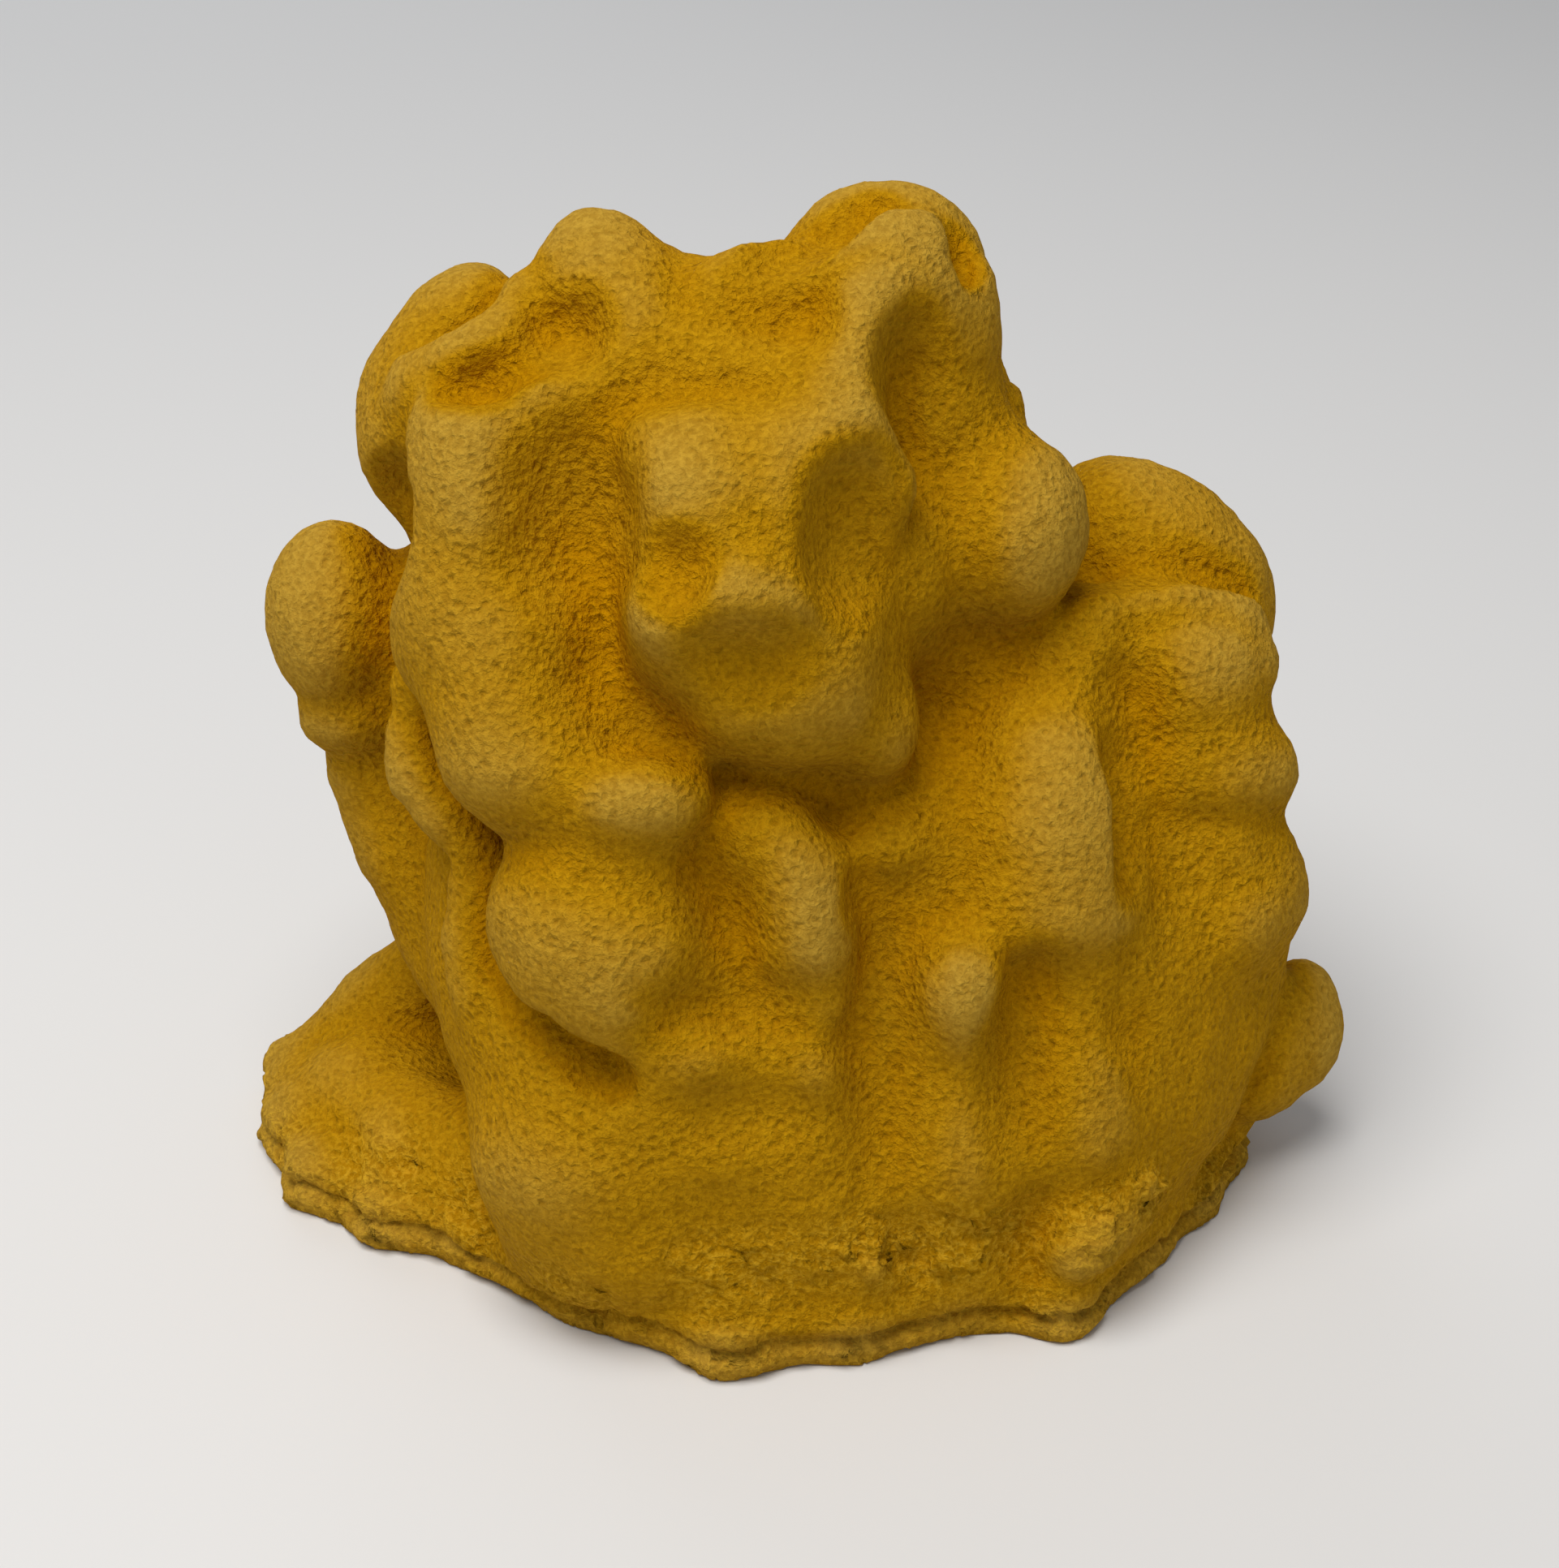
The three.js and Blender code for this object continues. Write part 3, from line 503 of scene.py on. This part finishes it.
middle = np.array([*view["middle"], 0])
coralMesh = meshOf("coralSkin", (points - middle) * mm, quads)
measures = {
    "hollow": hollowness,
    "facing": outward[:, 2],
    "roundness": roundness,
    "openness": openness,
    "crumbled": crumbled,
}
for name, values in measures.items():
    layer = coralMesh.attributes.new(name, "FLOAT", "POINT")
    layer.data.foreach_set("value", values.astype(np.float32))
print("skin drawn,", len(coralMesh.vertices), "vertices")


class Wire:
    # wraps a node's output, so that shader sums read as plain Python
    def __init__(self, nodes, socket):
        self.nodes = nodes
        self.socket = socket

    def __add__(self, other):
        return self.nodes.math("ADD", self, other)

    def __radd__(self, other):
        return self.nodes.math("ADD", other, self)

    def __sub__(self, other):
        return self.nodes.math("SUBTRACT", self, other)

    def __rsub__(self, other):
        return self.nodes.math("SUBTRACT", other, self)

    def __mul__(self, other):
        return self.nodes.math("MULTIPLY", self, other)

    def __rmul__(self, other):
        return self.nodes.math("MULTIPLY", other, self)

    def __truediv__(self, other):
        return self.nodes.math("DIVIDE", self, other)

    def __rtruediv__(self, other):
        return self.nodes.math("DIVIDE", other, self)

    def between(self, start, end):
        # 0 at start, 1 at end, eased
        settings = {"interpolation_type": "SMOOTHSTEP", "clamp": True}
        values = {"Value": self, "From Min": start, "From Max": end}
        return self.nodes.add("ShaderNodeMapRange", settings, values)

    def mixed(self, first, last):
        # from the first colour to the last; 6 and 7 are the node's colour sockets
        settings = {"data_type": "RGBA", "clamp_factor": True}
        return self.nodes.add("ShaderNodeMix", settings, {0: self, 6: first, 7: last}, output=2)


class Nodes:
    def __init__(self, tree):
        self.tree = tree

    def add(self, kind, settings=None, values=None, output=0):
        # settings come first, because they decide which sockets there are
        node = self.tree.nodes.new(kind)
        for key, value in (settings or {}).items():
            setattr(node, key, value)
        pairs = values.items() if isinstance(values, dict) else enumerate(values or [])
        for key, value in pairs:
            socket = node.inputs[key]
            if isinstance(value, Wire):
                self.tree.links.new(value.socket, socket)
            else:
                socket.default_value = value
        return Wire(self, node.outputs[output]) if len(node.outputs) else node

    def math(self, operation, *values):
        return self.add("ShaderNodeMath", {"operation": operation}, values)

    def vector(self, operation, values):
        return self.add("ShaderNodeVectorMath", {"operation": operation}, values)

    def part(self, vector, axis):
        return self.add("ShaderNodeSeparateXYZ", None, [vector], output=axis)


# the inputs of the relief, in mm
relief = {
    "Roll height": 0.8,  # soft unevenness of the skin
    "Roll size": 9.0,
    "Back roll height": 2.2,  # the same on the side that looks away
    "Back roll size": 17.0,
    "Grain height": 0.3,
    "Grain size": 2.4,
    "Chip depth": 1.7,  # broken chips of the foot
    "Chip size": 3.6,
    "Layer height": 2.8,  # thin layers that lie on the floor
    "Gap height": 4.2,
    "Gap depth": 1.8,
    "Seed": 11.0,  # not a length
}

# how the relief is spread over the skin: a pair is where a measure starts and ends to count
spread = {
    "backFacing": (0.1, 0.7),  # how far a face looks back
    "backGain": 3.0,
    "floorFade": (0.05, 1.2),  # mm above the floor, where the relief comes in
    "patchScale": 0.09,
    "patchRange": (0.30, 0.55),
    "leastCrumb": 0.3,  # share of the crumbling that is left between the patches
    "chipSquash": 2.0,
    "chipBend": 3.5,  # mm
    "chipBendScale": 0.35,
    "chipLevel": 0.8,  # chips over this share of the depth stand out
    "chipTone": 0.4,  # how much less the high chips show as broken
    "topFacing": (0.6, 0.9),
    "topLoss": 0.6,  # share of the chips that is lost on what faces up
    "ledgeShare": 0.6,
    "layerPatch": 2.0,  # layers by which the noise and the chips shift the ledges
    "layerChip": 0.35,
    "gapWander": 5.0,  # mm from its lowest to its highest
    "gapRange": (0.4, 1.8),  # mm from the gap's middle
    "wallFacing": (0.5, 0.85),
}


def reliefTree():
    tree = bpy.data.node_groups.new("skinRelief", "GeometryNodeTree")
    tree.interface.new_socket("Geometry", in_out="INPUT", socket_type="NodeSocketGeometry")
    for name in relief:
        tree.interface.new_socket(name, in_out="INPUT", socket_type="NodeSocketFloat")
    tree.interface.new_socket("Material", in_out="INPUT", socket_type="NodeSocketMaterial")
    tree.interface.new_socket("Geometry", in_out="OUTPUT", socket_type="NodeSocketGeometry")
    nodes = Nodes(tree)
    entry = nodes.add("NodeGroupInput").socket.node
    given = {socket.name: Wire(nodes, socket) for socket in entry.outputs}
    place = nodes.add("GeometryNodeInputPosition")
    normal = nodes.add("GeometryNodeInputNormal")
    inMm = nodes.vector("SCALE", {0: place, "Scale": 1 / mm})
    height = nodes.part(inMm, "Z")
    upward = nodes.part(normal, "Z")
    backward = nodes.part(normal, "Y").between(*spread["backFacing"])

    def noiseOf(scale, detail, shift, output=0):
        # the shift sets each noise apart from the others
        values = {"Vector": inMm, "W": given["Seed"] + shift, "Scale": scale, "Detail": detail}
        return nodes.add("ShaderNodeTexNoise", {"noise_dimensions": "4D"}, values, output)

    # noise lies round 0.5: less that and doubled, it goes from -1 to 1
    rolls = noiseOf(1.0 / given["Roll size"], detail=2.0, shift=0.0) - 0.5
    grains = noiseOf(1.0 / given["Grain size"], detail=1.5, shift=3.0) - 0.5
    backRolls = noiseOf(1.0 / given["Back roll size"], detail=1.0, shift=5.0) - 0.5
    skinRise = rolls * given["Roll height"] * 2.0 + grains * given["Grain height"] * 2.0
    skinRise = skinRise + backRolls * given["Back roll height"] * spread["backGain"] * backward

    # chips lie flat, so the pattern is squeezed in height, and noise bends its edges
    squeezed = nodes.vector("MULTIPLY", {0: inMm, 1: (1.0, 1.0, spread["chipSquash"])})
    bend = noiseOf(spread["chipBendScale"], detail=2.0, shift=7.0, output="Color")
    bent = nodes.vector("MULTIPLY_ADD", {0: bend, 1: (spread["chipBend"],) * 3, 2: squeezed})
    cells = {"Vector": bent, "W": given["Seed"], "Scale": 1.0 / given["Chip size"]}
    chips = nodes.add("ShaderNodeTexVoronoi", {"voronoi_dimensions": "4D", "feature": "F1"}, cells,
                      output="Color")
    chip = nodes.part(chips, "X")  # how high each chip stands, 0 to 1
    patch = noiseOf(spread["patchScale"], detail=2.0, shift=13.0)
    crumbled = nodes.add("GeometryNodeInputNamedAttribute", {"data_type": "FLOAT"}, {"Name": "crumbled"})
    least = spread["leastCrumb"]
    share = crumbled * (least + patch.between(*spread["patchRange"]) * (1.0 - least))
    keepTop = 1.0 - upward.between(*spread["topFacing"]) * spread["topLoss"]
    chipRise = (chip - spread["chipLevel"]) * given["Chip depth"] * share * keepTop

    # thin layers: a slope turns into ledges, and a wall gets a gap over the lowest layer
    layer = height / given["Layer height"] + patch * spread["layerPatch"] + chip * spread["layerChip"]
    ledge = (nodes.math("ROUND", layer) - layer) * given["Layer height"] * share * spread["ledgeShare"]
    fromGap = nodes.math("ABSOLUTE", height - given["Gap height"] - rolls * spread["gapWander"])
    wall = 1.0 - upward.between(*spread["wallFacing"])
    gapRise = (fromGap.between(*spread["gapRange"]) - 1.0) * given["Gap depth"] * wall

    offFloor = height.between(*spread["floorFade"])
    rise = (skinRise + chipRise + gapRise) * offFloor * mm
    lift = nodes.add("ShaderNodeCombineXYZ", None, {"Z": ledge * offFloor * mm})
    along = nodes.vector("SCALE", {0: normal, "Scale": rise})
    offset = nodes.vector("ADD", [along, lift])
    moved = nodes.add("GeometryNodeSetPosition", None, {"Geometry": given["Geometry"], "Offset": offset})
    tone = share * (1.0 - chip * spread["chipTone"])
    broken = nodes.add("GeometryNodeStoreNamedAttribute", {"data_type": "FLOAT", "domain": "POINT"},
                       {"Geometry": moved, "Name": "broken", "Value": tone})
    real = nodes.add("GeometryNodeRealizeInstances", None, [broken])
    dressed = nodes.add("GeometryNodeSetMaterial", None, {"Geometry": real, "Material": given["Material"]})
    nodes.add("NodeGroupOutput", None, [dressed])
    return tree


# colours, shares, and pairs as above
finish = {
    "crest": (0.47, 0.277, 0.032, 1),  # pale, a little grey: painted sheen, the sky's reflection on the outer crests
    "sheenOpen": (0.05, 0.5),
    "crestShade": (-0.1, 0.3),
    "flank": (0.475, 0.242, 0.004, 1),
    "hollow": (0.47, 0.22, 0.001, 1),  # orange: painted shade and bounce colour in the hollows
    "paintedHollowShade": (0.2, 0.7),
    "under": (0.36, 0.19, 0.008, 1),  # olive: painted shade on what faces down
    "underFacing": (0.1, -0.75),
    "underShadeShare": 0.75,
    "crumb": (0.60, 0.34, 0.02, 1),
    "crumbGrain": (0.4, 0.62),
    "crumbShare": 0.7,
    # painted shade: the dark bottoms of the corallite cups, fainter on the crests
    "pit": (0.30, 0.135, 0.001, 1),
    "pitPitch": 1.45,  # mm between corallites
    "pitRim": (0.1, 0.36),  # of the pitch, from a pit's middle
    "pitShade": 0.38,
    "pitLoss": 0.5,  # share that is lost on the crests
    "cupRim": (0.0, 0.6),  # the same for the pits' relief, whose height is in bump heights
    "cupHeight": 0.6,
    "cupLoss": 0.25,
    "grainPitch": 0.8,  # mm
    "grainRange": (0.3, 0.72),
    "grainDark": (0.66, 0.58, 0.42, 1),  # what the colours are multiplied by
    "grainLight": (1.22, 1.24, 1.3, 1),
    "grainShade": 0.55,
    "grainHeight": 0.85,
    "feltShade": (-0.15, 0.45),  # felt-like in the hollows, smoother on the crests
    "feltHeight": 0.55,
    "wanderScale": 0.9,
    "wander": 0.7,  # mm at most that noise bends pits and grain
    "patchScale": 0.07,  # slow changes of shade
    "patchShade": 0.35,
    "patchPale": 0.3,
    "roundShade": 0.14,
    "bumpHeight": 0.0007,  # m
    "bumpStrength": 0.9,
    "roughness": 0.93,
    "specular": 0.04,
    "specularTint": (1.0, 0.7, 0.15, 1),
}


def coralMaterial():
    material = bpy.data.materials.new("coralSkin")
    material.use_nodes = True
    material.node_tree.nodes.clear()
    nodes = Nodes(material.node_tree)

    def measureOf(name):
        return nodes.add("ShaderNodeAttribute", {"attribute_name": name}, output="Fac")

    def noiseOf(place, scale, detail, output=0):
        return nodes.add("ShaderNodeTexNoise", None,
                         {"Vector": place, "Scale": scale, "Detail": detail}, output)

    place = nodes.add("ShaderNodeTexCoord", output="Object")
    inMm = nodes.vector("SCALE", {0: place, "Scale": 1 / mm})
    wander = noiseOf(inMm, finish["wanderScale"], detail=2.0, output="Color")
    bent = nodes.vector("MULTIPLY_ADD", {0: wander, 1: (finish["wander"],) * 3, 2: inMm})
    cups = nodes.add("ShaderNodeTexVoronoi", {"feature": "F1"},
                     {"Vector": bent, "Scale": 1 / finish["pitPitch"]})
    grain = nodes.add("ShaderNodeTexNoise", None, {
        "Vector": bent, "Scale": 1 / finish["grainPitch"], "Detail": 3.0, "Roughness": 0.6})
    patches = noiseOf(inMm, finish["patchScale"], detail=3.0) - 0.5

    # where painted shade goes: the hollowness, less on bulges and more in dips, with slow random patches
    shade = measureOf("hollow") + patches * finish["patchShade"]
    shade = shade - measureOf("roundness") * finish["roundShade"]
    # painted sheen: the pale grey crest colour goes on the outer knobs, away from the hollows
    pale = (measureOf("openness") + patches * finish["patchPale"]).between(*finish["sheenOpen"])
    crest = pale * (1.0 - shade.between(*finish["crestShade"]))
    feltLike = shade.between(*finish["feltShade"])
    # painted shade: olive on the faces that look down
    paintedUnderShade = measureOf("facing").between(*finish["underFacing"]) * finish["underShadeShare"]
    crumb = measureOf("broken") * grain.between(*finish["crumbGrain"]) * finish["crumbShare"]
    # painted shade in the corallite cups
    pit = (1.0 - cups.between(*finish["pitRim"])) * (1.0 - crest * finish["pitLoss"])

    body = crest.mixed(finish["flank"], finish["crest"])
    # painted shade: deeper orange in the hollows
    body = shade.between(*finish["paintedHollowShade"]).mixed(body, finish["hollow"])
    body = paintedUnderShade.mixed(body, finish["under"])
    body = crumb.mixed(body, finish["crumb"])
    body = (pit * finish["pitShade"]).mixed(body, finish["pit"])
    dusk = grain.between(*finish["grainRange"]).mixed(finish["grainDark"], finish["grainLight"])
    body = nodes.add("ShaderNodeMix", {"data_type": "RGBA", "blend_type": "MULTIPLY"},
                     {0: finish["grainShade"], 6: body, 7: dusk}, output=2)

    cupRise = cups.between(*finish["cupRim"]) * (finish["cupHeight"] - crest * finish["cupLoss"])
    grainRise = grain * (finish["grainHeight"] + feltLike * finish["feltHeight"])
    bump = nodes.add("ShaderNodeBump", None, {
        "Strength": finish["bumpStrength"], "Distance": finish["bumpHeight"], "Height": cupRise + grainRise})
    shader = nodes.add("ShaderNodeBsdfPrincipled", None, {
        "Base Color": body,
        "Normal": bump,
        "Roughness": finish["roughness"],
        "Specular IOR Level": finish["specular"],
        "Specular Tint": finish["specularTint"],
    })
    nodes.add("ShaderNodeOutputMaterial", None, [shader])
    return material


draft = bpy.data.objects.new("coralDraft", coralMesh)
bpy.context.scene.collection.objects.link(draft)
modifier = draft.modifiers.new("relief", "NODES")
modifier.node_group = reliefTree()
inputs = {**relief, "Material": coralMaterial()}
for item in modifier.node_group.interface.items_tree:
    if item.in_out == "INPUT" and item.name in inputs:
        modifier[item.identifier] = inputs[item.name]
evaluated = draft.evaluated_get(bpy.context.evaluated_depsgraph_get())
coralMesh = bpy.data.meshes.new_from_object(evaluated)
bpy.data.objects.remove(draft)
coralMesh.name = "coralFinished"
corners = np.empty(len(coralMesh.vertices) * 3, np.float32)
coralMesh.vertices.foreach_get("co", corners)
corners = corners.reshape(-1, 3)
corners[:, 2] = np.maximum(corners[:, 2], 0)  # nothing under the floor
coralMesh.vertices.foreach_set("co", corners.ravel())
coralMesh.polygons.foreach_set("use_smooth", np.ones(len(coralMesh.polygons), bool))
coralMesh.update()
coral = bpy.data.objects.new("coral_skin", coralMesh)
bpy.context.scene.collection.objects.link(coral)
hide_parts("coral")
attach(coral, "root")
print("relief added,", len(coralMesh.polygons), "faces")


studio = {
    "floorSize": 16.0,  # m
    "floor": (0.76, 0.76, 0.76, 1),
    "floorRoughness": 1.0,
    "sky": (0.93, 0.96, 1.0, 1),
    "skyStrength": 0.25,
}
lamps = {
    "key": {"place": (-0.2, -0.25, 0.95), "target": (0, 0, 0.06), "size": 0.7, "power": 8.5,
            "colour": (1.0, 0.97, 0.93)},
    "fill": {"place": (0.5, -1.0, 0.5), "target": (0, 0, 0.07), "size": 1.0, "power": 0.35,
             "colour": (0.95, 0.97, 1.0)},
    "back fill": {"place": (-0.4, 0.95, 0.6), "target": (0, 0, 0.07), "size": 1.0, "power": 2.0,
                  "colour": (0.95, 0.97, 1.0)},
}

half = studio["floorSize"] / 2
floorMesh = bpy.data.meshes.new("floor")
floorMesh.from_pydata([(-half, -half, 0), (half, -half, 0), (half, half, 0), (-half, half, 0)], [],
                      [(0, 1, 2, 3)])
floor = bpy.data.objects.new("floor", floorMesh)
bpy.context.scene.collection.objects.link(floor)
paper = bpy.data.materials.new("floorPaper")
paper.use_nodes = True
paper.node_tree.nodes["Principled BSDF"].inputs["Base Color"].default_value = studio["floor"]
paper.node_tree.nodes["Principled BSDF"].inputs["Roughness"].default_value = studio["floorRoughness"]
floorMesh.materials.append(paper)

world = bpy.data.worlds.new("studio")
world.use_nodes = True
world.node_tree.nodes["Background"].inputs["Color"].default_value = studio["sky"]
world.node_tree.nodes["Background"].inputs["Strength"].default_value = studio["skyStrength"]
bpy.context.scene.world = world
bpy.context.scene.view_settings.view_transform = "Standard"

for name, lamp in lamps.items():
    light = bpy.data.lights.new(name, "AREA")
    light.shape = "DISK"
    light.size = lamp["size"]
    light.energy = lamp["power"]
    light.color = lamp["colour"]
    holder = bpy.data.objects.new(name, light)
    bpy.context.scene.collection.objects.link(holder)
    holder.location = lamp["place"]
    beam = Vector(lamp["target"]) - Vector(lamp["place"])
    holder.rotation_euler = beam.to_track_quat("-Z", "Y").to_euler()

aim = Vector((-view["middle"][0], -view["middle"][1], view["aimHeight"])) * mm
away = Vector((0, -cosTilt, sinTilt)) * view["eyeDistance"] * mm
cameraData = bpy.data.cameras.new("camera")
cameraData.lens = view["lens"]
cameraData.sensor_width = view["sensor"]
cameraData.clip_start = view["clipStart"]
camera = bpy.data.objects.new("camera", cameraData)
bpy.context.scene.collection.objects.link(camera)
camera.location = aim + away
camera.rotation_euler = (-away).to_track_quat("-Z", "Y").to_euler()
bpy.context.scene.camera = camera
print("studio ready")
